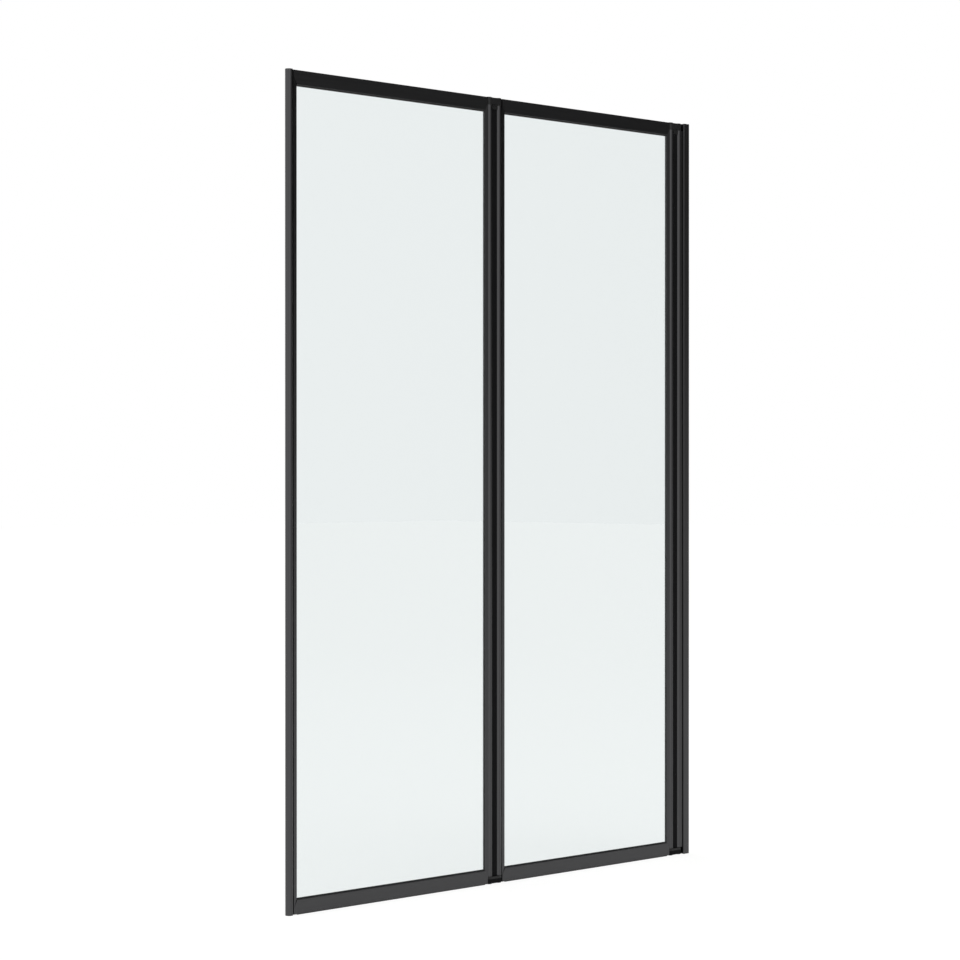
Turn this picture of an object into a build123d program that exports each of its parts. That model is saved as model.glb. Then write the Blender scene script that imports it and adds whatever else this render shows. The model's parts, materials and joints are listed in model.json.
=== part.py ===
import os

from build123d import *

# A folding bath screen of two glazed panels on two double hinges, in mm.
# The wall is the plane x = 0, the screen stands out from it along -X, and the bath's rim is z = 0.

# Overall sizes
screen_width = 1040.0  # wall to the nose of the free edge, unfolded
screen_height = 1400.0  # wall channel, end to end
frame_setback = 1.0  # panel frames stop this far short of the channel's two ends

# Panel frame profiles
frame_depth = 10.0  # stiles and rails, front to back
bead_radius = 6.5  # round nose of a stile
bead_wall = 2.0
neck_step = 1.2  # the web that joins bead and flat lies this far under the faces
flat_overlap = 0.3  # the flat starts this far inside the bead, which leaves a shadow line
flat_width = 7.6
flat_drop = 1.0  # each side of the flat slopes down by this, towards the glass
rail_height = 24.0
rail_line_offset = 2.6  # fine line along a rail's faces, from its outer edge
rail_line_width = 0.7
rail_line_depth = 0.5
lip_fillet = 0.4  # rounded edges of the flats and rails

# Glass and its gasket
glass_thickness = 3.0
glass_bite = 4.3  # glass held inside the metal's edge
gasket_leg = 1.7  # between the glass and the groove's side
gasket_base = 0.9  # between the glass and the groove's floor
stile_gasket_reveal = 0.3  # gasket that shows beside the metal
rail_gasket_reveal = 2.4
back_lip_cut = 2.8  # milled off the stiles' lip behind the glass, between the rails
gasket_tip = 0.7  # thickness of the gasket's lip

# Bottom seal
seal_mouth_half = 1.5
seal_mouth_depth = 1.2
seal_head_half = 3.0
seal_head_depth = 1.8
seal_foot_inset = 0.4  # the foot's edges behind the frame's faces
seal_gap = 0.1

# Rail chamber, which takes the corner block's tongue
chamber_start = 4.2  # from the rail's outer edge
chamber_half = 3.2
web_thickness = 1.2  # between chamber and glass groove
block_gap = 0.1  # corner block in its chamber
tongue_length = 34.0
tongue_setback = 0.2  # tongue's end face beyond the floor of the stile's groove
block_neck_half = 2.5
boss_length = 16.0
flange_inset = 0.5  # flange's rim inside the bead's
flange_thickness = 1.0

# Double hinges
link_pitch = 24.0  # between the two pins of a link
link_height = 12.0
link_gap = 0.5  # round a link in the frame's notch
cover_height = 8.0  # plastic part of the bottom link
bearing_gap = 0.2  # between a link and the flange it turns on
pin_radius = 3.0
pin_running_gap = 0.05
pin_seat_gap = 0.05  # pin in its link
pin_end_gap = 1.0  # pin's end short of the boss's end
pin_head_inset = 0.7  # head's rim inside the link's
pin_head_fillet = 0.6
column_half = 3.4  # half thickness of the hinge column
column_gap = 0.3  # between a bead and the column's hollow side
lug_half = 4.5  # half thickness of the top link's lug between the beads
lug_height = 8.5
link_fillet = 0.6  # rounded rims of the links and covers
column_end_gap = 0.1

# Screws
corner_screw_radius = 1.5
corner_screw_head = 2.8
corner_screw_length = 6.5
corner_screw_places = (10.0, 26.0)  # from the tongue's end face
column_screw_radius = 2.0
column_screw_head = 3.8
column_screw_grip = 20.0  # in the column
screw_gap = 0.1
post_screw_radius = 2.0
post_screw_head = 3.2
post_screw_head_height = 1.0
post_screw_length = 5.0
post_screw_inset = 8.5  # from the wall
post_screw_edge = 100.0  # the end screws, from the channel's ends
post_screw_count = 3

# Wall channel and the post in it
channel_depth = 15.5  # out from the wall
channel_half = 9.0
channel_web = 2.0
channel_leg = 1.5
channel_fillet = 1.3  # outer edges of the mouth
bead_stand = 1.0  # the post's bead stands this far off the channel's mouth
post_gap = 0.3  # post in the channel, each side
post_wall = 1.5
post_front_inset = 0.8  # post's body behind the channel's mouth
post_back_gap = 0.8
wall_hole_radius = 2.5
wall_hole_edge = 100.0  # outer wall holes, from the channel's ends
wall_hole_span = 400.0  # between the two inner wall holes

# Caps
end_cap_thickness = 2.0  # channel caps
end_cap_inset = 0.3
end_cap_gap = 0.2
end_cap_prong = 12.0
screw_cap_radius = 4.5
screw_cap_height = 1.8
screw_cap_fillet = 0.9
screw_cap_gap = 0.15
bead_plug_length = 10.0
bead_cap_fillet = 0.8
bore_gap = 0.05  # a plug, boss or bush in a bead's bore

# Worked out from the above
frame_half = frame_depth / 2
neck_half = frame_half - neck_step
flat_start = bead_radius - flat_overlap  # these two from the bead's centre
stile_edge = flat_start + flat_width
stile_edge_half = frame_half - flat_drop
seal_foot_half = frame_half - seal_foot_inset
bore_radius = bead_radius - bead_wall
groove_half = glass_thickness / 2 + gasket_leg
stile_groove_floor = stile_edge - glass_bite - gasket_base
rail_groove_floor = rail_height - glass_bite - gasket_base
tongue_start = stile_groove_floor + tongue_setback
chamber_end = rail_groove_floor - web_thickness
notch_face = bead_radius + link_gap
flange_top = link_height + bearing_gap
bead_end = flange_top + flange_thickness
neck_slot_end = chamber_end
frame_bottom = frame_setback
frame_top = screen_height - frame_setback
frame_height = frame_top - frame_bottom
mitre_start = rail_height * flat_start / stile_edge  # the mitre aims at the bead's centre
post_bead_x = -(channel_depth + bead_stand + bead_radius)
free_bead_x = -(screen_width - bead_radius)
panel_pitch = (post_bead_x - free_bead_x - 2 * link_pitch) / 2
inner_wall_x = post_bead_x - link_pitch
inner_fold_x = inner_wall_x - panel_pitch
outer_fold_x = inner_fold_x - link_pitch
pin_hole_radius = pin_radius + pin_running_gap
pin_seat_radius = pin_radius + pin_seat_gap
corner_hole_radius = corner_screw_radius + screw_gap
column_hole_radius = column_screw_radius + screw_gap
post_hole_radius = post_screw_radius + screw_gap
boss_radius = bore_radius - bore_gap
flange_radius = bead_radius - flange_inset
pin_head_radius = bead_radius - pin_head_inset

ends = {"bottom": 1, "top": -1}  # the way into the panel along Z
past = 1.0  # how far a cut runs beyond what it cuts
edge_share = 0.8  # a rounded rim takes at most this share of its disc's thickness

os.makedirs("parts", exist_ok=True)


def save(piece, node):
    piece.part.label = node
    export_step(piece.part, f"parts/{node}.step")


def end_z(end, depth):
    """Height of a point at this depth in from the frame's bottom or top edge."""
    edge = frame_bottom if end == "bottom" else frame_top
    return edge + ends[end] * depth


def end_plane(x, end, depth):
    """Level plane at a depth in from one end, facing into the panel."""
    return Plane(origin=(x, 0, end_z(end, depth)), x_dir=(1, 0, 0), z_dir=(0, 0, ends[end]))


def corner_plane(bead_x, inward, end):
    """Upright plane at a stile's end: first axis into the panel, second in from the frame's edge."""
    return Plane(origin=(bead_x, 0, end_z(end, 0)), x_dir=(inward, 0, 0), z_dir=(0, -inward * ends[end], 0))


def prism(plane, outline, half):
    """Solid through the frame from an outline in a corner's plane."""
    with BuildPart() as solid:
        with BuildSketch(plane):
            with BuildLine():
                Polyline(*outline, close=True)
            make_face()
        extrude(amount=half, both=True)
    return solid.part


def stile_cuts(bead_x, inward, end, hinged):
    """Mitre, hinge notch and slot for the corner block at one end of a stile."""
    corner = corner_plane(bead_x, inward, end)
    far = stile_edge + past
    rail_side = (
        (flat_start, -past),
        (flat_start, mitre_start),
        (stile_edge, rail_height),
        (far, rail_height),
        (far, -past),
    )
    cuts = [prism(corner, rail_side, frame_depth)]
    slot_start = -past
    if hinged:
        back = -2 * bead_radius
        notch = ((back, -past), (back, bead_end), (notch_face, bead_end), (notch_face, -past))
        cuts.append(prism(corner, notch, frame_depth))
        slot_start += bead_end
    slot = (
        (0, slot_start),
        (0, neck_slot_end),
        (stile_groove_floor, neck_slot_end),
        (stile_groove_floor, slot_start),
    )
    cuts.append(prism(corner, slot, block_neck_half + block_gap))
    return cuts


def make_stile(node, bead_x, inward, hinged):
    """Upright: a round bead with a bore, a thin web, and a flat that slopes down to the glass groove."""
    section = Plane(origin=(bead_x, 0, frame_bottom), x_dir=(inward, 0, 0), z_dir=(0, 0, 1))
    cuts = [cut for end in ends for cut in stile_cuts(bead_x, inward, end, hinged)]
    with BuildPart() as stile:
        with BuildSketch(section) as stile_sketch:
            Circle(bead_radius)
            with Locations((flat_start / 2, 0)):
                Rectangle(flat_start, 2 * neck_half)
            with BuildLine():
                Polyline(
                    (flat_start, -frame_half),
                    (stile_edge, -stile_edge_half),
                    (stile_edge, stile_edge_half),
                    (flat_start, frame_half),
                    close=True,
                )
            make_face()
            fillet(stile_sketch.vertices().group_by(Axis.X)[-1], lip_fillet)
            groove = stile_edge - stile_groove_floor
            with Locations((stile_groove_floor + groove / 2, 0)):
                Rectangle(groove, 2 * groove_half, mode=Mode.SUBTRACT)
            Circle(bore_radius, mode=Mode.SUBTRACT)
        extrude(amount=frame_height)
        for cut in cuts:
            add(cut, mode=Mode.SUBTRACT)
        lip_x = bead_x + inward * (stile_edge - back_lip_cut / 2)
        with Locations((lip_x, frame_half / 2, screen_height / 2)):
            Box(back_lip_cut, frame_half, frame_height - 2 * rail_height, mode=Mode.SUBTRACT)
    save(stile, node)


def rail_screw_points(left_x, right_x):
    """Places of the corner screws along a rail, from both of its ends."""
    reach = [tongue_start + place for place in corner_screw_places]
    return [left_x + r for r in reach] + [right_x - r for r in reach]


def make_rail(node, left_x, right_x, end, hinged_left, hinged_right):
    """Hollow rail: chamber for the corner blocks, glass groove, and a slot for the seal at the bottom."""
    length = right_x - left_x - 2 * flat_start
    section = Plane(
        origin=(left_x + flat_start, 0, end_z(end, 0)), x_dir=(0, ends[end], 0), z_dir=(1, 0, 0)
    )
    back = Plane(origin=(0, frame_half, 0), x_dir=(-1, 0, 0), z_dir=(0, 1, 0))
    screw_depth = (chamber_start + chamber_end) / 2
    cuts = []
    for bead_x, inward, hinged in ((left_x, 1, hinged_left), (right_x, -1, hinged_right)):
        corner = corner_plane(bead_x, inward, end)
        near = flat_start - past
        stile_side = (
            (near, mitre_start),
            (flat_start, mitre_start),
            (stile_edge, rail_height),
            (near, rail_height),
        )
        cuts.append(prism(corner, stile_side, frame_depth))
        if hinged:
            notch = ((near, -past), (near, bead_end), (notch_face, bead_end), (notch_face, -past))
            cuts.append(prism(corner, notch, frame_depth))
    with BuildPart() as rail:
        with BuildSketch(section):
            with Locations((0, rail_height / 2)):
                RectangleRounded(frame_depth, rail_height, lip_fillet)
            with Locations((0, (rail_groove_floor + rail_height) / 2)):
                Rectangle(2 * groove_half, rail_height - rail_groove_floor, mode=Mode.SUBTRACT)
            with Locations((0, (chamber_start + chamber_end) / 2)):
                Rectangle(2 * chamber_half, chamber_end - chamber_start, mode=Mode.SUBTRACT)
            for side in (-1, 1):
                with Locations((side * frame_half, rail_line_offset)):
                    Rectangle(2 * rail_line_depth, rail_line_width, mode=Mode.SUBTRACT)
            if end == "bottom":
                with Locations((0, seal_mouth_depth / 2)):
                    Rectangle(2 * seal_mouth_half, seal_mouth_depth, mode=Mode.SUBTRACT)
                with Locations((0, seal_mouth_depth + seal_head_depth / 2)):
                    Rectangle(2 * seal_head_half, seal_head_depth, mode=Mode.SUBTRACT)
        extrude(amount=length)
        for cut in cuts:
            add(cut, mode=Mode.SUBTRACT)
        with Locations(back):
            with Locations([(-x, end_z(end, screw_depth)) for x in rail_screw_points(left_x, right_x)]):
                CounterSinkHole(corner_hole_radius, corner_screw_head + screw_gap, depth=frame_half)
    save(rail, node)


def make_corner_block(node, bead_x, inward, end, hinged):
    """Nylon block: a tongue in the rail, a thin neck and a boss in the bead, bored for the hinge pin."""
    corner = corner_plane(bead_x, inward, end)
    screw_depth = (chamber_start + chamber_end) / 2
    low = bead_end + block_gap
    with BuildPart() as block:
        with BuildSketch(corner):
            with BuildLine():
                Polyline(
                    (tongue_start, chamber_start + block_gap),
                    (tongue_start, chamber_end - block_gap),
                    (tongue_start + tongue_length, chamber_end - block_gap),
                    (tongue_start + tongue_length, chamber_start + block_gap),
                    close=True,
                )
            make_face()
        extrude(amount=chamber_half - block_gap, both=True)
        with BuildSketch(corner):
            with BuildLine():
                Polyline(
                    (0, low),
                    (0, neck_slot_end - block_gap),
                    (tongue_start, neck_slot_end - block_gap),
                    (tongue_start, low),
                    close=True,
                )
            make_face()
        extrude(amount=block_neck_half, both=True)
        with BuildSketch(end_plane(bead_x, end, bead_end)):
            Circle(boss_radius)
        extrude(amount=boss_length)
        if hinged:
            with BuildSketch(end_plane(bead_x, end, flange_top)):
                Circle(flange_radius)
            extrude(amount=flange_thickness)
            with BuildSketch(end_plane(bead_x, end, flange_top)):
                Circle(pin_hole_radius)
            extrude(amount=flange_thickness + boss_length, mode=Mode.SUBTRACT)
        for place in corner_screw_places:
            x = bead_x + inward * (tongue_start + place)
            with BuildSketch(Plane(origin=(x, 0, end_z(end, screw_depth)), z_dir=(0, 1, 0))):
                Circle(corner_hole_radius)
            extrude(amount=frame_depth, both=True, mode=Mode.SUBTRACT)
    save(block, node)


def make_corner_screws(node, left_x, right_x):
    """Eight countersunk screws, driven from the back of the rails into the corner blocks."""
    cone = corner_screw_head - corner_screw_radius
    screw_depth = (chamber_start + chamber_end) / 2
    places = [(-x, end_z(end, screw_depth)) for end in ends for x in rail_screw_points(left_x, right_x)]
    back = Plane(origin=(0, frame_half, 0), x_dir=(-1, 0, 0), z_dir=(0, 1, 0))
    with BuildPart() as screws:
        with BuildSketch(back):
            with Locations(places):
                Circle(corner_screw_radius)
        extrude(amount=-corner_screw_length)
        with Locations(back.offset(-cone)):
            with Locations(places):
                Cone(
                    corner_screw_radius,
                    corner_screw_head,
                    cone,
                    align=(Align.CENTER, Align.CENTER, Align.MIN),
                )
    save(screws, node)


def gasket_outline(floor, edges, reveal):
    """The gasket's channel section round the glass. The metal's edge may differ on its two sides."""
    glass_half = glass_thickness / 2
    outline = []
    for side, edge in zip((1, -1), edges):
        half = [
            (floor, side * groove_half),
            (edge, side * groove_half),
            (edge + reveal, side * (glass_half + gasket_tip)),
            (edge + reveal, side * glass_half),
            (floor + gasket_base, side * glass_half),
        ]
        outline += half[::side]
    return outline


def make_gasket(node, plane, floor, edges, reveal, length):
    with BuildPart() as gasket:
        with BuildSketch(plane):
            with BuildLine():
                Polyline(*gasket_outline(floor, edges, reveal), close=True)
            make_face()
        extrude(amount=length)
    save(gasket, node)


def make_seal(node, left_x, right_x):
    """Soft strip in the bottom rail's slot, whose foot wipes the bath's rim."""
    start = left_x + stile_edge
    length = right_x - left_x - 2 * stile_edge
    head_top = seal_mouth_depth + seal_head_depth - seal_gap
    section = Plane(origin=(start, 0, frame_bottom), x_dir=(0, 1, 0), z_dir=(1, 0, 0))
    with BuildPart() as seal:
        with BuildSketch(section):
            with Locations((0, -frame_setback / 2)):
                Rectangle(2 * seal_foot_half, frame_setback)
            with Locations((0, head_top / 2)):
                Rectangle(2 * (seal_mouth_half - seal_gap), head_top)
            head_low = seal_mouth_depth + seal_gap
            with Locations((0, (head_low + head_top) / 2)):
                Rectangle(2 * (seal_head_half - seal_gap), head_top - head_low)
        extrude(amount=length)
    save(seal, node)


def make_glass(node, left_x, right_x):
    bite = stile_edge - glass_bite
    low = end_z("bottom", rail_height - glass_bite)
    high = end_z("top", rail_height - glass_bite)
    with BuildPart() as glass:
        with BuildSketch(Plane.XZ):
            with Locations(((left_x + right_x) / 2, (low + high) / 2)):
                Rectangle(right_x - left_x - 2 * bite, high - low)
        extrude(amount=glass_thickness / 2, both=True)
    save(glass, node)


def make_panel(name, left_x, right_x, left_side, right_side):
    """One glazed frame. Its sides are named wall, fold or free."""
    sides = ((left_x, 1, left_side), (right_x, -1, right_side))
    make_glass(f"{name}_glass", left_x, right_x)
    for bead_x, inward, side in sides:
        hinged = side != "free"
        make_stile(f"{name}_{side}_stile", bead_x, inward, hinged)
        for end in ends:
            make_corner_block(f"{name}_{end}_{side}_corner_block", bead_x, inward, end, hinged)
        floor = end_z("bottom", rail_groove_floor)
        upright = Plane(origin=(bead_x, 0, floor), x_dir=(inward, 0, 0), z_dir=(0, 0, 1))
        height = frame_height - 2 * rail_groove_floor
        edges = (stile_edge - back_lip_cut, stile_edge)[::inward]
        make_gasket(
            f"{name}_{side}_gasket", upright, stile_groove_floor, edges, stile_gasket_reveal, height
        )
    butt = stile_edge + stile_gasket_reveal
    for end, way in ends.items():
        hinged = [side != "free" for side in (left_side, right_side)]
        make_rail(f"{name}_{end}_rail", left_x, right_x, end, *hinged)
        level = Plane(origin=(left_x + butt, 0, end_z(end, 0)), x_dir=(0, 0, way), z_dir=(1, 0, 0))
        length = right_x - left_x - 2 * butt
        edges = (rail_height, rail_height)
        make_gasket(f"{name}_{end}_gasket", level, rail_groove_floor, edges, rail_gasket_reveal, length)
    make_corner_screws(f"{name}_corner_screws", left_x, right_x)
    make_seal(f"{name}_bottom_seal", left_x, right_x)


def make_pins(node, middle_x, end):
    """Two headed pins, from outside the link into the bores of the beads."""
    reach = bead_end + boss_length - pin_end_gap
    places = [(-link_pitch / 2, 0), (link_pitch / 2, 0)]
    with BuildPart() as pins:
        with BuildSketch(end_plane(middle_x, end, 0)):
            with Locations(places):
                Circle(pin_radius)
        extrude(amount=reach)
        with BuildSketch(end_plane(middle_x, end, 0)):
            with Locations(places):
                Circle(pin_head_radius)
        extrude(amount=-frame_setback)
        rims = pins.edges().filter_by(GeomType.CIRCLE).group_by(Axis.Z)[0 if end == "bottom" else -1]
        fillet(rims, min(pin_head_fillet, edge_share * frame_setback))
    save(pins, node)


def make_column(node, middle_x):
    """Strip between the two beads, hollowed on both sides to let them turn, with a screw port."""
    low = end_z("bottom", link_height + column_end_gap)
    high = end_z("top", link_height + lug_height + column_end_gap)
    with BuildPart() as column:
        with BuildSketch(Plane(origin=(middle_x, 0, low))):
            Rectangle(link_pitch, 2 * column_half)
            with Locations((-link_pitch / 2, 0), (link_pitch / 2, 0)):
                Circle(bead_radius + column_gap, mode=Mode.SUBTRACT)
            Circle(column_hole_radius, mode=Mode.SUBTRACT)
        extrude(amount=high - low)
    save(column, node)


def make_top_link(node, middle_x):
    """Cast link across both beads, with a lug that fills the gap down to the column."""
    with BuildPart() as link:
        with BuildSketch(end_plane(middle_x, "top", link_height)):
            Rectangle(link_pitch, 2 * lug_half)
            with Locations((-link_pitch / 2, 0), (link_pitch / 2, 0)):
                Circle(bead_radius + column_gap, mode=Mode.SUBTRACT)
        extrude(amount=lug_height)
        with BuildSketch(end_plane(middle_x, "top", 0)):
            SlotCenterToCenter(link_pitch, 2 * bead_radius)
        extrude(amount=link_height)
        fillet(link.faces().sort_by(Axis.Z)[-1].outer_wire().edges(), link_fillet)
        with BuildSketch(end_plane(middle_x, "top", 0)):
            with Locations((-link_pitch / 2, 0), (link_pitch / 2, 0)):
                Circle(pin_seat_radius)
        extrude(amount=link_height, mode=Mode.SUBTRACT)
        with Locations(Plane(origin=(middle_x, 0, frame_top))):
            through = link_height + lug_height
            CounterSinkHole(column_hole_radius, column_screw_head + screw_gap, depth=through)
    save(link, node)


def make_bottom_link(node, cover_node, middle_x):
    """Cast plate with a plastic cover under it, on the same outline as the top link."""
    plate_low = end_z("bottom", cover_height)
    with BuildPart() as link:
        with BuildSketch(Plane(origin=(middle_x, 0, plate_low))):
            SlotCenterToCenter(link_pitch, 2 * bead_radius)
            with Locations((-link_pitch / 2, 0), (link_pitch / 2, 0)):
                Circle(pin_seat_radius, mode=Mode.SUBTRACT)
        extrude(amount=link_height - cover_height)
        with Locations(Plane(origin=(middle_x, 0, plate_low), z_dir=(0, 0, -1))):
            CounterSinkHole(column_hole_radius, column_screw_head + screw_gap, depth=link_height)
    save(link, node)
    with BuildPart() as cover:
        with BuildSketch(Plane(origin=(middle_x, 0, frame_bottom))):
            SlotCenterToCenter(link_pitch, 2 * bead_radius)
            with Locations((-link_pitch / 2, 0), (link_pitch / 2, 0)):
                Circle(pin_seat_radius, mode=Mode.SUBTRACT)
        extrude(amount=cover_height)
        fillet(cover.faces().sort_by(Axis.Z)[0].outer_wire().edges(), link_fillet)
    save(cover, cover_node)


def make_column_screws(node, middle_x):
    """One countersunk screw down through the top link and one up through the bottom plate."""
    cone = column_screw_head - column_screw_radius
    centred = (Align.CENTER, Align.CENTER, Align.MIN)
    with BuildPart() as screws:
        for end, start, through in (
            ("top", 0, link_height + lug_height),
            ("bottom", cover_height, link_height - cover_height),
        ):
            with Locations(end_plane(middle_x, end, start)):
                Cylinder(column_screw_radius, through + column_screw_grip, align=centred)
                Cone(column_screw_head, column_screw_radius, cone, align=centred)
    save(screws, node)


def make_hinge(name, right_x):
    middle_x = right_x - link_pitch / 2
    make_top_link(f"{name}_top_link", middle_x)
    make_bottom_link(f"{name}_bottom_link", f"{name}_bottom_cover", middle_x)
    make_column(f"{name}_column", middle_x)
    make_column_screws(f"{name}_column_screws", middle_x)
    for end in ends:
        make_pins(f"{name}_{end}_pins", middle_x, end)


# Wall channel: a plain U, drilled through its web for the wall screws
wall_hole_heights = (
    wall_hole_edge,
    (screen_height - wall_hole_span) / 2,
    (screen_height + wall_hole_span) / 2,
    screen_height - wall_hole_edge,
)
post_screw_heights = [
    post_screw_edge + step * (screen_height - 2 * post_screw_edge) / (post_screw_count - 1)
    for step in range(post_screw_count)
]
side_plane = Plane(origin=(0, channel_half, 0), x_dir=(-1, 0, 0), z_dir=(0, 1, 0))
post_screw_places = [(post_screw_inset, height) for height in post_screw_heights]
inside_half = channel_half - channel_leg
with BuildPart() as wall_channel:
    with BuildSketch() as channel_sketch:
        with Locations((-channel_depth / 2, 0)):
            Rectangle(channel_depth, 2 * channel_half)
        fillet(channel_sketch.vertices().group_by(Axis.X)[0], channel_fillet)
        with Locations((-(channel_depth + channel_web) / 2, 0)):
            Rectangle(channel_depth - channel_web, 2 * inside_half, mode=Mode.SUBTRACT)
    extrude(amount=screen_height)
    with BuildSketch(Plane.YZ):
        with Locations([(0, height) for height in wall_hole_heights]):
            Circle(wall_hole_radius)
    extrude(amount=-channel_web, mode=Mode.SUBTRACT)
    with BuildSketch(side_plane):
        with Locations(post_screw_places):
            Circle(post_hole_radius)
    extrude(amount=-channel_leg, mode=Mode.SUBTRACT)
save(wall_channel, "wall_channel")

# Post: a bead like the stiles' in front of a hollow box that slides in the channel
post_half = inside_half - post_gap
post_front = -(channel_depth - post_front_inset)
post_back = -channel_web - post_back_gap
cap_depth = end_cap_inset + end_cap_thickness
post_low = cap_depth + end_cap_gap
post_height = screen_height - 2 * post_low
with BuildPart() as wall_post:
    with BuildSketch(Plane.XY.offset(post_low)):
        with Locations((post_bead_x, 0)):
            Circle(bead_radius)
        with Locations(((post_bead_x + post_front) / 2, 0)):
            Rectangle(post_front - post_bead_x, 2 * bead_radius)
        with Locations(((post_front + post_back) / 2, 0)):
            Rectangle(post_back - post_front, 2 * post_half)
            Rectangle(
                post_back - post_front - 2 * post_wall,
                2 * (post_half - post_wall),
                mode=Mode.SUBTRACT,
            )
        with Locations((post_bead_x, 0)):
            Circle(bore_radius, mode=Mode.SUBTRACT)
    extrude(amount=post_height)
    for end in ends:
        with BuildSketch(end_plane(post_bead_x, end, bead_end)):
            with Locations((notch_face / 2 - bead_radius, 0)):
                Rectangle(2 * bead_radius + notch_face, 2 * channel_half)
        extrude(amount=-bead_end, mode=Mode.SUBTRACT)
    with BuildSketch(side_plane.offset(-channel_leg)):
        with Locations(post_screw_places):
            Circle(post_hole_radius)
    extrude(amount=-(post_gap + post_wall), mode=Mode.SUBTRACT)
save(wall_post, "wall_post")

# Flanged bushes in the post's bead
for end in ends:
    with BuildPart() as bush:
        with BuildSketch(end_plane(post_bead_x, end, flange_top)):
            Circle(flange_radius)
        extrude(amount=flange_thickness)
        with BuildSketch(end_plane(post_bead_x, end, bead_end)):
            Circle(boss_radius)
        extrude(amount=boss_length)
        with BuildSketch(end_plane(post_bead_x, end, flange_top)):
            Circle(pin_hole_radius)
        extrude(amount=flange_thickness + boss_length, mode=Mode.SUBTRACT)
    save(bush, f"post_{end}_bush")

# Caps that close the channel's two ends, gripping in the post's hollow
hollow_half = post_half - post_wall
hollow_front = post_front + post_wall
hollow_back = post_back - post_wall
for end, way in ends.items():
    cap_face = end_cap_inset if end == "bottom" else screen_height - end_cap_inset
    cap_plane = Plane(origin=(0, 0, cap_face), x_dir=(1, 0, 0), z_dir=(0, 0, way))
    cap_front = -(channel_depth - end_cap_inset)
    cap_back = -channel_web - end_cap_gap
    with BuildPart() as channel_cap:
        with BuildSketch(cap_plane):
            with Locations(((cap_front + cap_back) / 2, 0)):
                Rectangle(cap_back - cap_front, 2 * (inside_half - end_cap_gap))
        extrude(amount=end_cap_thickness)
        with BuildSketch(cap_plane.offset(end_cap_thickness)):
            with Locations(((hollow_front + hollow_back) / 2, 0)):
                Rectangle(hollow_back - hollow_front - 2 * end_cap_gap, 2 * (hollow_half - end_cap_gap))
        extrude(amount=end_cap_prong)
    save(channel_cap, f"channel_{end}_cap")

# Screws that hold the post in the channel, on the side away from the photographed one, and their caps
with BuildPart() as post_screws:
    with BuildSketch(side_plane):
        with Locations(post_screw_places):
            Circle(post_screw_radius)
    extrude(amount=-post_screw_length)
    with BuildSketch(side_plane):
        with Locations(post_screw_places):
            Circle(post_screw_head)
    extrude(amount=post_screw_head_height)
save(post_screws, "post_screws")

with BuildPart() as screw_caps:
    with BuildSketch(side_plane):
        with Locations(post_screw_places):
            Circle(screw_cap_radius)
    extrude(amount=screw_cap_height)
    crowns = screw_caps.edges().filter_by(GeomType.CIRCLE).group_by(Axis.Y)[-1]
    fillet(crowns, screw_cap_fillet)
    with BuildSketch(side_plane):
        with Locations(post_screw_places):
            Circle(post_screw_head + screw_cap_gap)
    extrude(amount=post_screw_head_height + screw_cap_gap, mode=Mode.SUBTRACT)
save(screw_caps, "post_screw_caps")

# Double hinges at the wall and at the fold
make_hinge("wall_hinge", post_bead_x)
make_hinge("fold_hinge", inner_fold_x)

# Glazed panels
make_panel("inner", inner_fold_x, inner_wall_x, "fold", "wall")
make_panel("outer", free_bead_x, outer_fold_x, "free", "fold")

# Caps that close the free edge's bead
for end in ends:
    with BuildPart() as bead_cap:
        with BuildSketch(end_plane(free_bead_x, end, 0)):
            Circle(bead_radius)
        extrude(amount=-frame_setback)
        rim = bead_cap.edges().filter_by(GeomType.CIRCLE).group_by(Axis.Z)[0 if end == "bottom" else -1]
        fillet(rim, min(bead_cap_fillet, edge_share * frame_setback))
        with BuildSketch(end_plane(free_bead_x, end, 0)):
            Circle(boss_radius)
        extrude(amount=bead_plug_length)
    save(bead_cap, f"free_edge_{end}_cap")

print("pin lines at x:", post_bead_x, inner_wall_x, inner_fold_x, outer_fold_x, "free bead:", free_bead_x)
print("from pin line to pin line across a panel:", panel_pitch)
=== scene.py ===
import json
import math

import bmesh
import bpy
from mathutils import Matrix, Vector


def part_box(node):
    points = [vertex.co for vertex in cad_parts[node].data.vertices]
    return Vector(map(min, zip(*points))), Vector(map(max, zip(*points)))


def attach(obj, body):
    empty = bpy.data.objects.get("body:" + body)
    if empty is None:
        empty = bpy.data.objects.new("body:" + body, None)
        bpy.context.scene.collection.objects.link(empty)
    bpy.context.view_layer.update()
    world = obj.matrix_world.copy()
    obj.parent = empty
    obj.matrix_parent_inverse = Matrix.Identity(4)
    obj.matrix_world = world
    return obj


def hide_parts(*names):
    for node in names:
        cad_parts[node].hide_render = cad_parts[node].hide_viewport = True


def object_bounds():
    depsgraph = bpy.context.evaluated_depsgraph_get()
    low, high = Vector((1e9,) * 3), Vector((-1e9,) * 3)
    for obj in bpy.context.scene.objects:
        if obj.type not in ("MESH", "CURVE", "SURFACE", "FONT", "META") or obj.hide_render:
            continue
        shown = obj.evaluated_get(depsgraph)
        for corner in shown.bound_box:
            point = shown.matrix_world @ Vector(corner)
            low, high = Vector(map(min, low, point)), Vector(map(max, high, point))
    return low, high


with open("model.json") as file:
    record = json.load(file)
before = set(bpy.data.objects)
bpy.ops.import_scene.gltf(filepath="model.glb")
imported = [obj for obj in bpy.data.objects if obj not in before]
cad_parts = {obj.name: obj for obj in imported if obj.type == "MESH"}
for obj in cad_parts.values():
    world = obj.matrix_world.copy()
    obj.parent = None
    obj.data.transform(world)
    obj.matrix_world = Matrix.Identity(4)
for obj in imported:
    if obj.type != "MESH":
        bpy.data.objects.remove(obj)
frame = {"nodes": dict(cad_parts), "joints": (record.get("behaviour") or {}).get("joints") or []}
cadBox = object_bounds()
nodes = frame["nodes"]
scene = bpy.context.scene
scene.view_settings.view_transform = "Standard"
mm = 0.001
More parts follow.
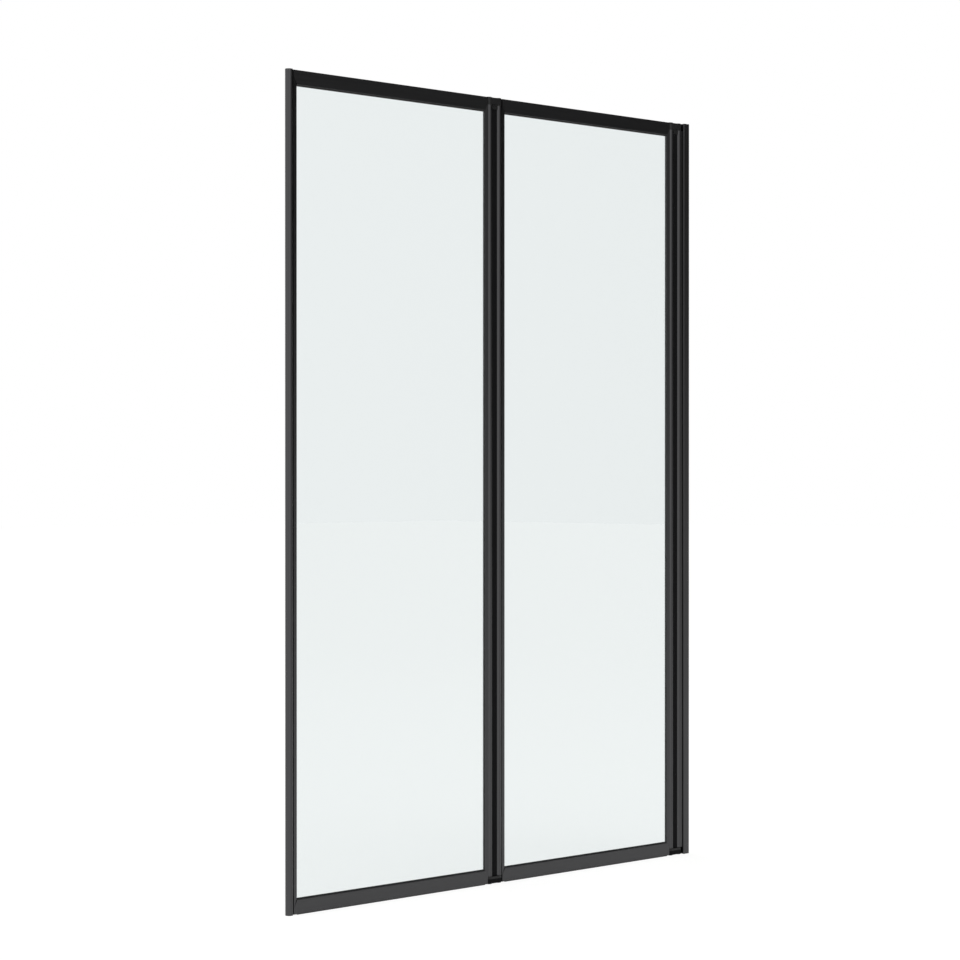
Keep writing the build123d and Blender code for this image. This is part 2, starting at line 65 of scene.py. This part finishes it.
print("frame loaded:", len(nodes), "nodes")

# Camera: a long lens, level with the middle of the screen, 47 degrees off the panels' normal
view = {
    "place": (-4.1548, -3.3902, 0.7403),
    "turn": -46.564,  # degrees about Z, from looking along +Y
    "tilt": -0.247,
    "lens": 104.28,
    "sensor": 36.0,
    "clipEnd": 60,
}
cameraData = bpy.data.cameras.new("camera")
cameraData.lens = view["lens"]
cameraData.sensor_width = view["sensor"]
cameraData.clip_end = view["clipEnd"]
camera = bpy.data.objects.new("camera", cameraData)
camera.location = view["place"]
camera.rotation_euler = (math.radians(90 + view["tilt"]), 0, math.radians(view["turn"]))
scene.collection.objects.link(camera)
scene.camera = camera
print("camera placed")


# Shader helpers
def linear(hexColour):
    # sRGB hex to the linear colour that a shader wants
    out = []
    for i in (1, 3, 5):
        c = int(hexColour[i:i + 2], 16) / 255
        out.append(c / 12.92 if c <= 0.04045 else ((c + 0.055) / 1.055) ** 2.4)
    return (*out, 1.0)


def addNode(tree, kind, settings=None, **links):
    # settings are the node's properties, or the two stops of a colour ramp
    # links are its inputs, by name or by number after a _: values, or outputs of other nodes
    node = tree.nodes.new(kind)
    for key, value in (settings or {}).items():
        if key == "stops":
            for element, (place, hexColour) in zip(node.color_ramp.elements, value):
                element.position = place
                element.color = linear(hexColour)
        else:
            setattr(node, key, value)
    for key, value in links.items():
        socket = node.inputs[int(key[1:])] if key[1:].isdigit() else node.inputs[key.replace("_", " ")]
        if isinstance(value, bpy.types.NodeSocket):
            tree.links.new(value, socket)
        else:
            socket.default_value = value
    return node


def newMaterial(name, **surface):
    # a material with a Principled shader and its fixed values
    material = bpy.data.materials.new(name)
    material.use_nodes = True
    tree = material.node_tree
    shader = tree.nodes["Principled BSDF"]
    for key, value in surface.items():
        shader.inputs[key.replace("_", " ")].default_value = value
    return material, tree, shader


def layFinish(tree, shader, look, colourBy=None, roughBy=None, reliefBy=None):
    # patterns drive the surface: look gives the colour and the roughness at two of the pattern's values,
    # and the relief's depth and strength
    if colourBy is not None:
        colour = addNode(tree, "ShaderNodeValToRGB", {"stops": look["colours"]}, Fac=colourBy)
        tree.links.new(colour.outputs["Color"], shader.inputs["Base Color"])
    if roughBy is not None:
        (start, smooth), (end, dull) = look["roughness"]
        rough = addNode(
            tree, "ShaderNodeMapRange", None, Value=roughBy,
            From_Min=start, From_Max=end, To_Min=smooth, To_Max=dull,
        )
        tree.links.new(rough.outputs[0], shader.inputs["Roughness"])
    if reliefBy is not None:
        depth, strength = look["relief"]
        bump = addNode(tree, "ShaderNodeBump", None, Height=reliefBy, Distance=depth, Strength=strength)
        tree.links.new(bump.outputs[0], shader.inputs["Normal"])


# Extruded aluminium, etched and dyed black: the oxide layer is satin and deep, with faint lines along the
# extrusion, so a light shows as a soft stripe that is finely streaked
anodised = {
    "colours": ((0.3, "#464647"), (0.7, "#4a4a4b")),
    "roughness": ((0.4, 0.30), (1.1, 0.36)),
    "lineSpacing": 1.1 * mm,  # real die lines lie nearer 0.2 mm apart, too fine to show
    "lineLength": 160 * mm,
    "relief": (0.012 * mm, 1.0),
    "etchGrain": 0.8 * mm,  # real etch pits are 0.05 mm, too fine to show
    "etchShare": 0.5,  # of the roughness, beside the lines
}


def anodisedAluminium(name, along):
    # along is the axis that the profile was extruded on, 0 for X or 2 for Z
    material, tree, shader = newMaterial(name, Metallic=1.0)
    coordinates = addNode(tree, "ShaderNodeTexCoord")
    scale = [1 / anodised["lineSpacing"]] * 3
    scale[along] = 1 / anodised["lineLength"]
    stretched = addNode(
        tree, "ShaderNodeMapping", None, Vector=coordinates.outputs["Object"], Scale=tuple(scale)
    )
    lines = addNode(
        tree, "ShaderNodeTexNoise", None, Vector=stretched.outputs[0], Scale=1.0, Detail=3.0, Roughness=0.6
    )
    grain = addNode(
        tree, "ShaderNodeTexNoise", None, Vector=coordinates.outputs["Object"],
        Scale=1 / anodised["etchGrain"], Detail=2.0,
    )
    both = addNode(
        tree, "ShaderNodeMath", {"operation": "MULTIPLY_ADD"},
        _0=grain.outputs["Fac"], _1=anodised["etchShare"], _2=lines.outputs["Fac"],
    )
    layFinish(tree, shader, anodised, lines.outputs["Fac"], both.outputs[0], lines.outputs["Fac"])
    return material


# Zinc alloy, die cast and powder coated black: a fine orange peel breaks its highlights up
powder = {
    "colours": ((0.35, "#0f0f10"), (0.65, "#131314")),  # painted shade in the pits, lighter on the skin
    "roughness": ((0.3, 0.38), (0.7, 0.5)),
    "specular": 0.32,
    "peel": 1.6 * mm,
    "relief": (0.03 * mm, 1.0),
}


def powderCoatedZinc():
    material, tree, shader = newMaterial("powderCoatedZinc", IOR=1.5, Specular_IOR_Level=powder["specular"])
    coordinates = addNode(tree, "ShaderNodeTexCoord")
    peel = addNode(
        tree, "ShaderNodeTexNoise", None, Vector=coordinates.outputs["Object"], Scale=1 / powder["peel"],
        Detail=2.0,
    )
    # the peel also sets the colour: darker in its pits as painted shade
    skin = peel.outputs["Fac"]
    layFinish(tree, shader, powder, skin, skin, skin)
    return material


# Nylon 6, black right through, with a fine even grain. Caps, blocks and bushes are moulded in spark-eroded
# tools, which leaves them satin. The hinges' strips and covers are darker, with little sheen: painted shade
# for the recess between the beads and under the hinges
mouldedLook = {
    "colours": ((0.0, "#161617"), (0.8, "#121213")),
    "roughness": ((0.0, 0.48), (0.8, 0.6)),
    "specular": 0.4,
    "grain": 0.9 * mm,  # real spark grain is 0.1 mm, too fine to show
    "relief": (0.02 * mm, 0.8),
}
# painted shade: a darker colour than the moulded nylon and a weak sheen, standing in for the shade in the
# hinges' recess and under them
paintedShadeLook = {**mouldedLook, "colours": ((0.0, "#0a0a0b"), (0.8, "#121213")), "specular": 0.05}


def grainedNylon(name, look):
    material, tree, shader = newMaterial(name, IOR=1.53, Specular_IOR_Level=look["specular"])
    coordinates = addNode(tree, "ShaderNodeTexCoord")
    cells = addNode(
        tree, "ShaderNodeTexVoronoi", None, Vector=coordinates.outputs["Object"], Scale=1 / look["grain"]
    )
    grain = cells.outputs["Distance"]
    layFinish(tree, shader, look, grain, grain, grain)
    return material


# EPDM rubber, extruded: dull and very dark, with long drag marks and a little dust in patches
rubber = {
    "colours": ((0.45, "#0e0e0f"), (0.8, "#1c1c1c")),  # clean, dusty
    "roughness": ((0.3, 0.58), (0.7, 0.74)),
    "dragSpacing": 0.9 * mm,  # real drag marks are 0.1 mm apart, too fine to show
    "dragLength": 54 * mm,
    "relief": (0.015 * mm, 1.0),
    "patch": 35 * mm,
}


def epdmRubber(name, along):
    # along is the axis that the rubber was extruded on, 0 for X or 2 for Z
    material, tree, shader = newMaterial(name, IOR=1.52)
    coordinates = addNode(tree, "ShaderNodeTexCoord")
    scale = [1 / rubber["dragSpacing"]] * 3
    scale[along] = 1 / rubber["dragLength"]
    stretched = addNode(
        tree, "ShaderNodeMapping", None, Vector=coordinates.outputs["Object"], Scale=tuple(scale)
    )
    drag = addNode(tree, "ShaderNodeTexNoise", None, Vector=stretched.outputs[0], Scale=1.0, Detail=2.0)
    patches = addNode(
        tree, "ShaderNodeTexNoise", None, Vector=coordinates.outputs["Object"], Scale=1 / rubber["patch"],
        Detail=4.0,
    )
    layFinish(tree, shader, rubber, patches.outputs["Fac"], drag.outputs["Fac"], drag.outputs["Fac"])
    return material


# Turned steel pins, chemically blackened: darker and smoother than the castings, in cloudy patches
blackened = {
    "colours": ((0.35, "#2c2c2e"), (0.7, "#3a3a3c")),
    "roughness": ((0.3, 0.28), (0.7, 0.42)),
    "patch": 3 * mm,
    "detail": 4.0,
}

# Steel screws, zinc plated: bright grey, with a cloudy passivated film
plated = {
    "colours": ((0.3, "#a9acb0"), (0.7, "#c4c6c6")),
    "roughness": ((0.3, 0.25), (0.7, 0.4)),
    "patch": 1.5 * mm,
    "detail": 3.0,
}


def treatedSteel(name, look):
    material, tree, shader = newMaterial(name, Metallic=1.0)
    coordinates = addNode(tree, "ShaderNodeTexCoord")
    clouds = addNode(
        tree, "ShaderNodeTexNoise", None, Vector=coordinates.outputs["Object"], Scale=1 / look["patch"],
        Detail=look["detail"],
    )
    layFinish(tree, shader, look, clouds.outputs["Fac"], clouds.outputs["Fac"])
    return material


# Toughened soda-lime glass, 3 mm: clear with a faint cold tint, flat but for slight roller waves, and with
# a few smears from wiping
glass = {
    "tint": "#eff4f4",
    "roughness": ((0.5, 0.0), (0.9, 0.03)),
    "smear": 111 * mm,
    "waveLength": 60 * mm,
    "relief": (0.002 * mm, 1.0),
}


def toughenedGlass():
    material, tree, shader = newMaterial(
        "toughenedGlass", IOR=1.52, Transmission_Weight=1.0, Base_Color=linear(glass["tint"])
    )
    coordinates = addNode(tree, "ShaderNodeTexCoord")
    waves = addNode(
        tree, "ShaderNodeTexNoise", None, Vector=coordinates.outputs["Object"], Scale=1 / glass["waveLength"]
    )
    smears = addNode(
        tree, "ShaderNodeTexNoise", None, Vector=coordinates.outputs["Object"], Scale=1 / glass["smear"],
        Detail=5.0,
    )
    layFinish(tree, shader, glass, None, smears.outputs["Fac"], waves.outputs["Fac"])
    return material


uprightAluminium = anodisedAluminium("anodisedAluminiumUpright", 2)
levelAluminium = anodisedAluminium("anodisedAluminiumLevel", 0)
uprightRubber = epdmRubber("epdmRubberUpright", 2)
levelRubber = epdmRubber("epdmRubberLevel", 0)
castZinc = powderCoatedZinc()
mouldedNylon = grainedNylon("mouldedNylon", mouldedLook)
paintedShadeNylon = grainedNylon("extrudedNylonPaintedShade", paintedShadeLook)
blackenedSteel = treatedSteel("blackenedSteel", blackened)
zincPlatedSteel = treatedSteel("zincPlatedSteel", plated)
clearGlass = toughenedGlass()


def finishOf(name):
    # the material of a frame node, from the kind of piece it is
    if name.endswith("_glass"):
        return clearGlass
    if "gasket" in name or name.endswith("_seal"):
        return levelRubber if name.endswith(("top_gasket", "bottom_gasket", "_seal")) else uprightRubber
    if name.endswith("screws"):
        return zincPlatedSteel
    if name.endswith("pins"):
        return blackenedSteel
    # the hinges' strips and covers take the nylon with painted shade
    if name.endswith(("_column", "_cover")):
        return paintedShadeNylon
    if name.endswith(("_cap", "_caps", "_bush", "corner_block")):
        return mouldedNylon
    if name.endswith("_link"):
        return castZinc
    return levelAluminium if name.endswith("_rail") else uprightAluminium


for name, node in nodes.items():
    for materialSlot in node.material_slots:
        materialSlot.material = finishOf(name)
print("materials set")


# Modelled pieces, which stand for CAD nodes that are soft or plainer than the real ones
def addPiece(name, bm, node, body, sharpAngle):
    # faces meet in an edge where they turn by more than sharpAngle degrees
    bmesh.ops.recalc_face_normals(bm, faces=bm.faces)
    mesh = bpy.data.meshes.new(name)
    bm.to_mesh(mesh)
    bm.free()
    mesh.set_sharp_from_angle(angle=math.radians(sharpAngle))
    mesh.materials.append(finishOf(node))
    piece = bpy.data.objects.new(name, mesh)
    scene.collection.objects.link(piece)
    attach(piece, body)
    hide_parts(node)


def runSection(bm, section, place, start, end):
    # a closed section, carried in a straight line: place gives the point for (u, v, distance)
    rings = [[bm.verts.new(place(u, v, s)) for u, v in section] for s in (start, end)]
    count = len(section)
    for i in range(count):
        j = (i + 1) % count
        bm.faces.new((rings[0][i], rings[0][j], rings[1][j], rings[1][i])).smooth = True
    for ring in rings:
        bm.faces.new(ring)


# Each panel's two upright edges: the middle line of the bead there, and which way the panel lies from it
beadRadius = 6.5 * mm
pinLine = {joint["name"]: joint["pos_m"][0] for joint in frame["joints"]}
beadLines = {
    "inner": {"wall": (pinLine["inner_panel_swing"], -1), "fold": (pinLine["fold_link_fold"], 1)},
    "outer": {
        "fold": (pinLine["outer_panel_fold"], -1),
        "free": (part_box("outer_free_stile")[0][0] + beadRadius, 1),
    },
}

# Gaskets: a channel round the glass's edge, whose two lips are round and thin out where they touch the
# glass. In the section, u runs from the groove's floor towards the glass, and v across
gasketPlan = {
    "base": 0.9 * mm,
    "heel": 0.35 * mm,
    "glassHalf": 1.5 * mm,
    "uprightReveal": 0.3 * mm,  # how far the lips stand out of the stile
    "levelReveal": 2.4 * mm,  # and of the rail
    "backCut": 2.8 * mm,  # the stile's lip behind the glass is this much narrower than the front one
    "shoulder": 0.2 * mm,  # where a lip starts to turn, behind the edge of its stile or rail
    "lipCurve": 0.8,
    "lipSteps": 6,
    "sharp": 50,
}


def gasketSection(low, grooveHalf, edges, tip):
    # edges are the back and the front edge of the stile or rail, and tip is where the front lip ends
    glassHalf, heel = gasketPlan["glassHalf"], gasketPlan["heel"]
    reveal = tip - max(edges)
    rise = grooveHalf - glassHalf
    section = []
    for side, edge in zip((1, -1), edges):
        half = [
            (low, grooveHalf - heel), (low + heel, grooveHalf), (edge - gasketPlan["shoulder"], grooveHalf)
        ]
        for step in range(gasketPlan["lipSteps"] + 1):
            turn = step / gasketPlan["lipSteps"] * math.pi / 2
            across = glassHalf + rise * math.cos(turn) ** gasketPlan["lipCurve"]
            half.append((edge + reveal * math.sin(turn), across))
        half.append((low + gasketPlan["base"], glassHalf))
        section += [(u, side * v) for u, v in half][::side]
    return section


for panel, lines in beadLines.items():
    for side, (beadX, inward) in lines.items():
        node = f"{panel}_{side}_gasket"
        (x0, y0, z0), (x1, y1, z1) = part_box(node)
        low, tip = sorted((abs(x0 - beadX), abs(x1 - beadX)))
        edge = tip - gasketPlan["uprightReveal"]
        bm = bmesh.new()
        runSection(
            bm, gasketSection(low, y1, (edge - gasketPlan["backCut"], edge), tip),
            lambda u, v, s: (beadX + inward * u, v, s), z0, z1,
        )
        name = f"{panel}{side.capitalize()}Gasket"
        addPiece(name, bm, node, f"{panel}_panel", gasketPlan["sharp"])
    for end, up in (("top", -1), ("bottom", 1)):
        node = f"{panel}_{end}_gasket"
        (x0, y0, z0), (x1, y1, z1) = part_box(node)
        outer = z0 if up > 0 else z1
        reach = z1 - z0
        bm = bmesh.new()
        runSection(
            bm, gasketSection(0.0, y1, (reach - gasketPlan["levelReveal"],) * 2, reach),
            lambda u, v, s: (s, v, outer + up * u), x0, x1,
        )
        name = f"{panel}{end.capitalize()}Gasket"
        addPiece(name, bm, node, f"{panel}_panel", gasketPlan["sharp"])
print("gaskets modelled")

# Bottom seals: a head in the rail's slot, and a foot with three soft fins that wipe the bath's rim
sealPlan = {
    "headHalf": 2.9 * mm,
    "headBevel": 0.4 * mm,
    "headLow": 1.3 * mm,  # the head's underside, above the foot
    "mouthHalf": 1.4 * mm,
    "footHeight": 1.0 * mm,
    "footBevel": 0.3 * mm,
    "heel": 0.2 * mm,  # height of the bevel under the foot's side
    "finDepth": 0.75 * mm,
    "outerFin": (0.9 * mm, 1.5 * mm),  # its tip and its root, in from the foot's side
    "middleFin": (0.3 * mm, 0.7 * mm, 1.4 * mm),  # its half width at the tip, the shoulder and the root
    "shoulder": 0.1 * mm,
    "sharp": 40,
}
for panel in beadLines:
    node = f"{panel}_bottom_seal"
    (x0, y0, z0), (x1, y1, z1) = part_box(node)
    headHalf, headBevel, mouthHalf = sealPlan["headHalf"], sealPlan["headBevel"], sealPlan["mouthHalf"]
    footTop, footBevel = z0 + sealPlan["footHeight"], sealPlan["footBevel"]
    headLow, finRoot = footTop + sealPlan["headLow"], z0 + sealPlan["finDepth"]
    tipIn, rootIn = sealPlan["outerFin"]
    tipHalf, shoulderHalf, rootHalf = sealPlan["middleFin"]
    half = [
        (headHalf - headBevel, z1), (headHalf, z1 - headBevel), (headHalf, headLow),
        (mouthHalf, headLow), (mouthHalf, footTop),
        (y1 - footBevel, footTop), (y1, footTop - footBevel),
        (y1, z0 + sealPlan["heel"]), (y1 - footBevel, z0),
        (y1 - tipIn, z0), (y1 - rootIn, finRoot),
        (rootHalf, finRoot), (shoulderHalf, z0 + sealPlan["shoulder"]), (tipHalf, z0),
    ]
    section = half + [(-u, v) for u, v in reversed(half)]
    bm = bmesh.new()
    runSection(bm, section, lambda u, v, s: (s, u, v), x0, x1)
    addPiece(f"{panel}BottomSeal", bm, node, f"{panel}_panel", sealPlan["sharp"])
print("bottom seals modelled")

# Screws and pins are turned. A head is a profile of (radius, depth, keyed) in mm, where a keyed ring is
# pulled onto a hexagon for the key, and the shank below it ends in a bevel
turning = {"segments": 36, "sharp": 35}


def turnPiece(bm, plan, length, place):
    shank, bevel = plan["shank"], plan["bevel"]
    tip = ((shank, length - bevel, False), (shank - bevel, length, False), (0, length, False))
    segments = turning["segments"]
    rings = []
    for radius, depth, keyed in (*plan["head"], *tip):
        if radius == 0:
            rings.append([bm.verts.new(place(0, 0, depth * mm))])
            continue
        ring = []
        for i in range(segments):
            turn = 2 * math.pi * i / segments
            r = radius * mm
            if keyed:
                r /= math.cos((turn + math.pi / 6) % (math.pi / 3) - math.pi / 6)
            ring.append(bm.verts.new(place(r * math.cos(turn), r * math.sin(turn), depth * mm)))
        rings.append(ring)
    for a, b in zip(rings, rings[1:]):
        for i in range(segments):
            j = (i + 1) % segments
            corners = [ring[k % len(ring)] for ring, k in ((a, i), (a, j), (b, j), (b, i))]
            bm.faces.new(list(dict.fromkeys(corners))).smooth = True


# Countersunk corner screws, with a hexagon socket in a slightly dished head. Two hold each corner block
cornerScrew = {
    "head": (
        (0, 1.25, False), (0.85, 1.05, True), (0.92, 1.0, True), (0.98, 0.06, True), (1.1, 0.02, False),
        (1.9, 0.0, False), (2.6, 0.0, False), (2.8, 0.12, False), (1.62, 1.25, False), (1.5, 1.4, False),
    ),
    "shank": 1.5,
    "bevel": 0.3,
    "length": 6.5,
    "fromBead": (18.8 * mm, 34.8 * mm),
    "fromEnd": 11.9 * mm,
}
for panel, lines in beadLines.items():
    node = f"{panel}_corner_screws"
    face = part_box(node)[1][1]
    bm = bmesh.new()
    for beadX, inward in lines.values():
        for away in cornerScrew["fromBead"]:
            for z in (cadBox[0][2] + cornerScrew["fromEnd"], cadBox[1][2] - cornerScrew["fromEnd"]):
                x = beadX + inward * away
                turnPiece(bm, cornerScrew, cornerScrew["length"], lambda a, b, d: (x + a, face - d, z + b))
    addPiece(f"{panel}CornerScrews", bm, node, f"{panel}_panel", turning["sharp"])

# Column screws: one down through the top link, and one up through the bottom plate
columnScrew = {
    "head": (
        (0, 2.1, False), (1.15, 1.8, True), (1.25, 0.08, True), (1.45, 0.02, False), (2.6, 0.0, False),
        (3.6, 0.0, False), (3.8, 0.15, False), (2.1, 1.75, False), (2.0, 1.9, False),
    ),
    "shank": 2.0,
    "bevel": 0.5,
    "topLength": 40.5,
    "bottomLength": 24.0,
}

# Pins: domed heads, turned with a centre mark and two fine rings. Their length is the frame's
pin = {
    "head": (
        (0, 0.55, False), (0.7, 0.1, False), (0.9, 0.0, False), (2.6, 0.0, False), (2.75, 0.12, False),
        (2.9, 0.0, False), (4.2, 0.02, False), (4.35, 0.14, False), (4.5, 0.04, False), (5.1, 0.1, False),
        (5.55, 0.32, False), (5.8, 0.7, False), (5.8, 1.0, False), (3.0, 1.0, False),
    ),
    "shank": 3.0,
    "bevel": 0.6,
}
hinges = {
    "wall": ("wall_link", pinLine["wall_link_swing"], pinLine["inner_panel_swing"]),
    "fold": ("fold_link", pinLine["fold_link_fold"], pinLine["outer_panel_fold"]),
}
for hinge, (body, nearX, farX) in hinges.items():
    node = f"{hinge}_hinge_column_screws"
    low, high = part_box(node)
    middleX = (nearX + farX) / 2
    ends = ((high[2], -1, columnScrew["topLength"]), (low[2], 1, columnScrew["bottomLength"]))
    bm = bmesh.new()
    for start, way, length in ends:
        turnPiece(bm, columnScrew, length, lambda a, b, d: (middleX + a, b, start + way * d))
    addPiece(f"{hinge}ColumnScrews", bm, node, body, turning["sharp"])

    for end, way in (("top", -1), ("bottom", 1)):
        node = f"{hinge}_hinge_{end}_pins"
        low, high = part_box(node)
        start, length = (high[2] if way < 0 else low[2]), (high[2] - low[2]) / mm
        bm = bmesh.new()
        for pinX in (farX, nearX):
            turnPiece(bm, pin, length, lambda a, b, d: (pinX + a, b, start + way * d))
        addPiece(f"{hinge}{end.capitalize()}Pins", bm, node, body, turning["sharp"])
print("screws and pins modelled")

# Floor: emulsion paint, rolled on, dull and nearly white. Rays from the camera, metal and glass see it
# glow, and the share that the light makes keeps the object's shadow
floorPlan = {
    "half": 24.0,
    "drop": 0.3 * mm,
    "colour": "#d6d6d4",
    "roughness": 0.9,
    "lamplit": 0.3,  # share that the light makes, and so the depth of the shadow
    "glow": 1.22,  # the rest, straight
    "glowThrough": 1.125,  # the same through glass
    "glowReflected": 1.35,  # the same in metal
}
floorMesh = bpy.data.meshes.new("floor")
s, low = floorPlan["half"], -floorPlan["drop"]
floorMesh.from_pydata([(-s, -s, low), (s, -s, low), (s, s, low), (-s, s, low)], [], [(0, 1, 2, 3)])
floor = bpy.data.objects.new("floor", floorMesh)
scene.collection.objects.link(floor)
floorMaterial, tree, shader = newMaterial(
    "rolledEmulsion", Base_Color=linear(floorPlan["colour"]), Roughness=floorPlan["roughness"],
    Specular_IOR_Level=0.0,
)
path = addNode(tree, "ShaderNodeLightPath")
straight = addNode(
    tree, "ShaderNodeMath", {"operation": "MAXIMUM"},
    _0=path.outputs["Is Camera Ray"], _1=path.outputs["Is Transmission Ray"],
)
seen = addNode(
    tree, "ShaderNodeMath", {"operation": "MAXIMUM"}, _0=straight.outputs[0], _1=path.outputs["Is Glossy Ray"]
)
indirect = addNode(
    tree, "ShaderNodeMix", {"data_type": "FLOAT"},
    _0=path.outputs["Is Transmission Ray"], _2=floorPlan["glowReflected"], _3=floorPlan["glowThrough"],
)
strength = addNode(
    tree, "ShaderNodeMix", {"data_type": "FLOAT"},
    _0=path.outputs["Is Camera Ray"], _2=indirect.outputs[0], _3=floorPlan["glow"],
)
glow = addNode(tree, "ShaderNodeEmission", None, Strength=strength.outputs[0])
share = addNode(
    tree, "ShaderNodeMath", {"operation": "MULTIPLY"}, _0=seen.outputs[0], _1=1 - floorPlan["lamplit"]
)
blendFloor = addNode(
    tree, "ShaderNodeMixShader", None, _0=share.outputs[0], _1=shader.outputs[0], _2=glow.outputs[0]
)
tree.links.new(blendFloor.outputs[0], tree.nodes["Material Output"].inputs["Surface"])
floorMesh.materials.append(floorMaterial)

# Room: white to the camera and through glass. In the metal it is bright around the camera and on the
# left, and falls off towards the wall's side, which is what draws a soft stripe down every bead
room = {"darkSide": (0.993, -0.114, 0.0), "dark": 0.01, "bright": 1.08, "from": -0.05, "to": 0.9}
world = bpy.data.worlds.new("room")
scene.world = world
world.use_nodes = True
tree = world.node_tree
background = tree.nodes["Background"]
coordinates = addNode(tree, "ShaderNodeTexCoord")
toDark = addNode(
    tree, "ShaderNodeVectorMath", {"operation": "DOT_PRODUCT"},
    _0=coordinates.outputs["Generated"], _1=room["darkSide"],
)
shade = addNode(
    tree, "ShaderNodeMapRange", {"interpolation_type": "SMOOTHSTEP"}, Value=toDark.outputs["Value"],
    From_Min=room["from"], From_Max=room["to"], To_Min=room["bright"], To_Max=room["dark"],
)
path = addNode(tree, "ShaderNodeLightPath")
straight = addNode(
    tree, "ShaderNodeMath", {"operation": "MAXIMUM"},
    _0=path.outputs["Is Camera Ray"], _1=path.outputs["Is Transmission Ray"],
)
level = addNode(
    tree, "ShaderNodeMix", {"data_type": "FLOAT"}, _0=straight.outputs[0], _2=shade.outputs[0], _3=1.0
)
tree.links.new(level.outputs[0], background.inputs["Strength"])
background.inputs["Color"].default_value = (1, 1, 1, 1)

# Lamps: wide soft boxes beside the camera, to its left, overhead and behind
lampPlan = {
    "key": {"place": (-3.6, -4.6, 1.4), "aim": (-0.5, 0, 0.7), "size": 2.8, "power": 8},
    "left": {"place": (-5.2, 0.6, 1.5), "aim": (-0.5, 0, 0.7), "size": 2.6, "power": 7},
    "over": {"place": (-0.9, -0.8, 4.2), "aim": (-0.6, 0, 0.0), "size": 2.6, "power": 30},
    "back": {"place": (0.6, 4.6, 2.0), "aim": (-0.5, 0, 0.7), "size": 2.6, "power": 8},
}
for lampName, plan in lampPlan.items():
    lampData = bpy.data.lights.new(lampName, "AREA")
    lampData.shape = "SQUARE"
    lampData.size = plan["size"]
    lampData.energy = plan["power"]
    lamp = bpy.data.objects.new(lampName, lampData)
    lamp.location = plan["place"]
    toward = Vector(plan["aim"]) - Vector(plan["place"])
    lamp.rotation_euler = toward.to_track_quat("-Z", "Y").to_euler()
    lamp.visible_camera = False
    lamp.visible_transmission = False
    scene.collection.objects.link(lamp)
print("floor, room and lamps placed")
